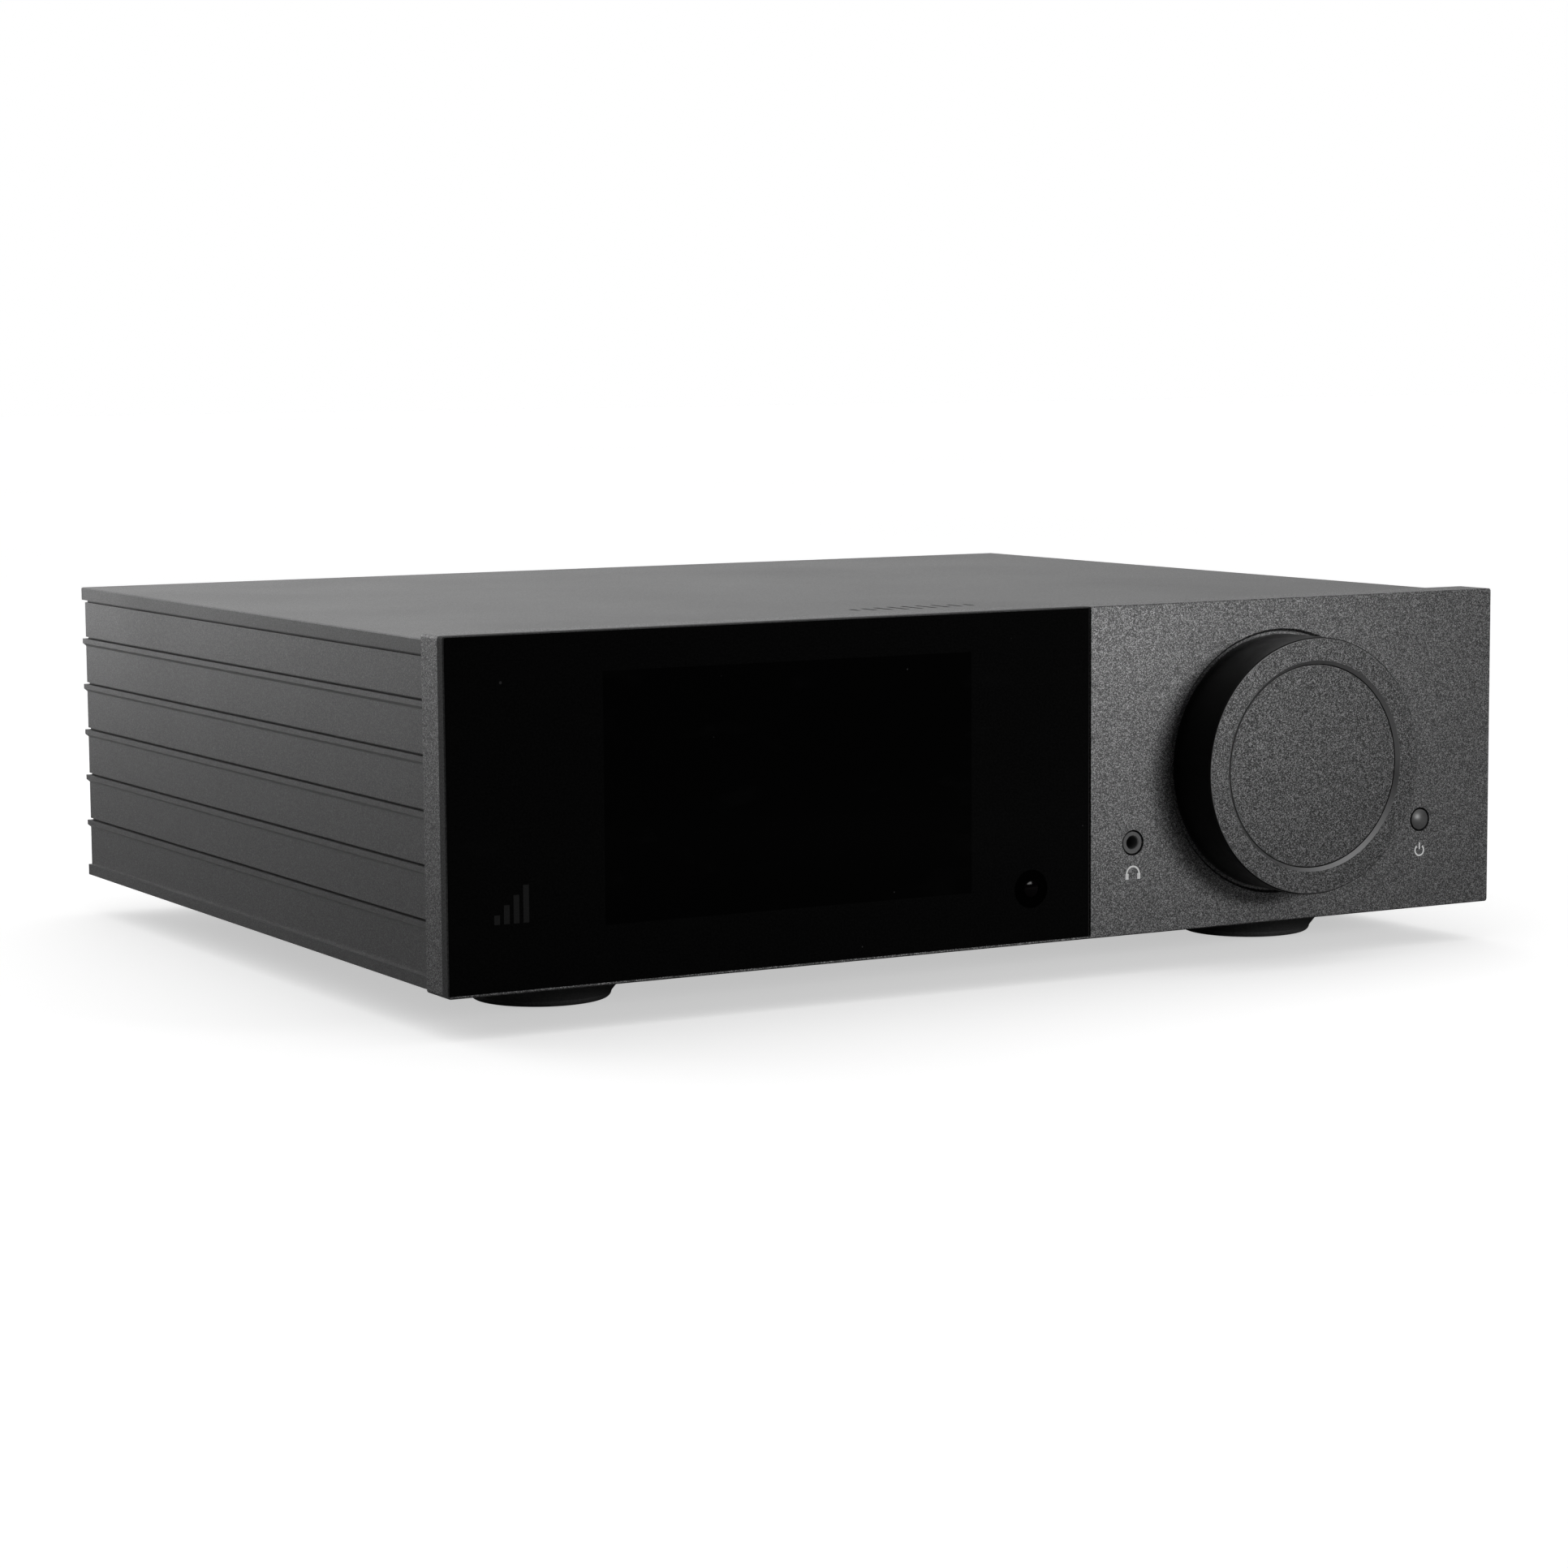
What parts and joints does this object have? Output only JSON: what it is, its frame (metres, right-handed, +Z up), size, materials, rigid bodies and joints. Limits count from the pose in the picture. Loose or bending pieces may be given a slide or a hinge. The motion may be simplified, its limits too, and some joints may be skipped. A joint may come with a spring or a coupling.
{
  "type": "desktop dac amplifier",
  "caption": "Low aluminium hi-fi case with a black glass display front, a large round volume knob, ribbed sides, round feet and a rear panel of sockets.",
  "frame": {"origin": "on the table, under the middle of the overall box, knob and speaker posts included", "axes": "+X to the right seen from the front, +Y to the back, +Z up"},
  "size_m": [0.33, 0.3066, 0.1019],
  "materials": {
    "anodised_aluminium": "dark grey, bead blasted and anodised",
    "bare_aluminium": "extruded, plain",
    "black_sheet": "black powder coat",
    "black_glass": "polished, black back print",
    "display": "dark screen in its frame",
    "dark_plastic": "infra-red filter plastic",
    "circuit_board": "solder mask",
    "black_plastic": "moulded, fine grain",
    "gloss_plastic": "polished black",
    "foot_plastic": "moulded",
    "rubber": "soft",
    "black_steel": "blackened",
    "bright_steel": "zinc plated",
    "nickel_brass": "nickel plated",
    "gold_brass": "gold plated",
    "cap_red": "clear red plastic",
    "cap_black": "black plastic",
    "ferrite": "dark ferrite",
    "capacitor_sleeve": "shrunk sleeve",
    "fuse_glass": "clear tube with metal caps",
    "wire_sleeve": "flexible sleeve"
  },
  "bodies": {
    "case": {"front_panel": "anodised_aluminium", "display_glass": "black_glass", "display_module": "display", "ir_receiver": "dark_plastic", "front_board": "circuit_board", "headphone_jack": "black_plastic", "standby_switch": "black_plastic", "encoder_body": "bright_steel", "encoder_nut": "bright_steel", "side_panel_left": "anodised_aluminium", "side_panel_right": "anodised_aluminium", "corner_brackets": "bright_steel", "lid": "anodised_aluminium", "base_plate": "black_sheet", "rear_panel": "black_sheet", "case_screws": "black_steel", "board_screws": "bright_steel", "foot_pads": "rubber", "foot_screws": "black_steel", "board_standoffs": "bright_steel", "main_board": "circuit_board", "processor_module": "circuit_board", "power_board": "circuit_board", "power_transformer": "ferrite", "power_capacitors": "capacitor_sleeve", "heat_sink": "bare_aluminium", "inner_wiring": "wire_sleeve", "display_ribbon": "wire_sleeve", "mains_inlet": "black_plastic", "inlet_pins": "nickel_brass", "switch_housing": "black_plastic", "terminal_plates": "black_plastic", "speaker_posts": "gold_brass", "rca_shells": "gold_brass", "rca_cores": "black_plastic", "optical_socket": "black_plastic", "usb_sockets": "nickel_brass", "hdmi_socket": "nickel_brass", "network_socket": "black_plastic", "foot_front_left": "foot_plastic", "foot_front_right": "foot_plastic", "foot_rear_left": "foot_plastic", "foot_rear_right": "foot_plastic"},
    "knob": {"knob_ring": "anodised_aluminium", "knob_disc": "anodised_aluminium", "knob_grub_screw": "black_steel", "encoder_shaft": "bright_steel"},
    "standby_button": {"standby_button": "gloss_plastic"},
    "fuse_drawer": {"fuse_drawer": "black_plastic", "fuse": "fuse_glass"},
    "switch_rocker": {"switch_rocker": "gloss_plastic"},
    "optical_shutter": {"optical_shutter": "black_plastic"},
    "post_collar_1": {"post_collar_1": "gold_brass"},
    "post_cap_1": {"post_cap_1": "cap_red"},
    "post_collar_2": {"post_collar_2": "gold_brass"},
    "post_cap_2": {"post_cap_2": "cap_black"},
    "post_collar_3": {"post_collar_3": "gold_brass"},
    "post_cap_3": {"post_cap_3": "cap_red"},
    "post_collar_4": {"post_collar_4": "gold_brass"},
    "post_cap_4": {"post_cap_4": "cap_black"}
  },
  "joints": [
    {"name": "knob_turn", "type": "hinge", "parent": "case", "child": "knob", "pos_m": [0.0901, -0.13655, 0.0563], "axis": [0, -1, 0], "continuous": true},
    {"name": "standby_press", "type": "slide", "parent": "case", "child": "standby_button", "axis": [0, 1, 0], "range_m": [0, 0.0008], "stiffness_N_per_m": 600, "springref_m": -0.0008},
    {"name": "mains_rocker", "type": "hinge", "parent": "case", "child": "switch_rocker", "pos_m": [-0.097, 0.12895, 0.058], "axis": [-1, 0, 0], "range_deg": [0, 24]},
    {"name": "fuse_drawer_slide", "type": "slide", "parent": "case", "child": "fuse_drawer", "axis": [0, 1, 0], "range_m": [0, 0.015]},
    {"name": "optical_shutter_swing", "type": "hinge", "parent": "case", "child": "optical_shutter", "pos_m": [0.074, 0.13035, 0.0311], "axis": [-1, 0, 0], "range_deg": [0, 82], "stiffness_Nm_per_rad": 0.0003, "springref_deg": -20.05},
    {"name": "post_collar_1_lift", "type": "slide", "parent": "case", "child": "post_collar_1", "axis": [0, 1, 0], "range_m": [0, 0.005]},
    {"name": "post_cap_1_turn", "type": "hinge", "parent": "post_collar_1", "child": "post_cap_1", "pos_m": [-0.0735, 0.13095, 0.054], "axis": [0, 1, 0], "range_deg": [0, 1800]},
    {"name": "post_collar_2_lift", "type": "slide", "parent": "case", "child": "post_collar_2", "axis": [0, 1, 0], "range_m": [0, 0.005]},
    {"name": "post_cap_2_turn", "type": "hinge", "parent": "post_collar_2", "child": "post_cap_2", "pos_m": [-0.0545, 0.13095, 0.054], "axis": [0, 1, 0], "range_deg": [0, 1800]},
    {"name": "post_collar_3_lift", "type": "slide", "parent": "case", "child": "post_collar_3", "axis": [0, 1, 0], "range_m": [0, 0.005]},
    {"name": "post_cap_3_turn", "type": "hinge", "parent": "post_collar_3", "child": "post_cap_3", "pos_m": [-0.0355, 0.13095, 0.054], "axis": [0, 1, 0], "range_deg": [0, 1800]},
    {"name": "post_collar_4_lift", "type": "slide", "parent": "case", "child": "post_collar_4", "axis": [0, 1, 0], "range_m": [0, 0.005]},
    {"name": "post_cap_4_turn", "type": "hinge", "parent": "post_collar_4", "child": "post_cap_4", "pos_m": [-0.0165, 0.13095, 0.054], "axis": [0, 1, 0], "range_deg": [0, 1800]}
  ],
  "couplings": [
    {"joint": "post_cap_1_turn", "follows": "post_collar_1_lift", "rad_per_m": 6283.2},
    {"joint": "post_cap_2_turn", "follows": "post_collar_2_lift", "rad_per_m": 6283.2},
    {"joint": "post_cap_3_turn", "follows": "post_collar_3_lift", "rad_per_m": 6283.2},
    {"joint": "post_cap_4_turn", "follows": "post_collar_4_lift", "rad_per_m": 6283.2}
  ]
}
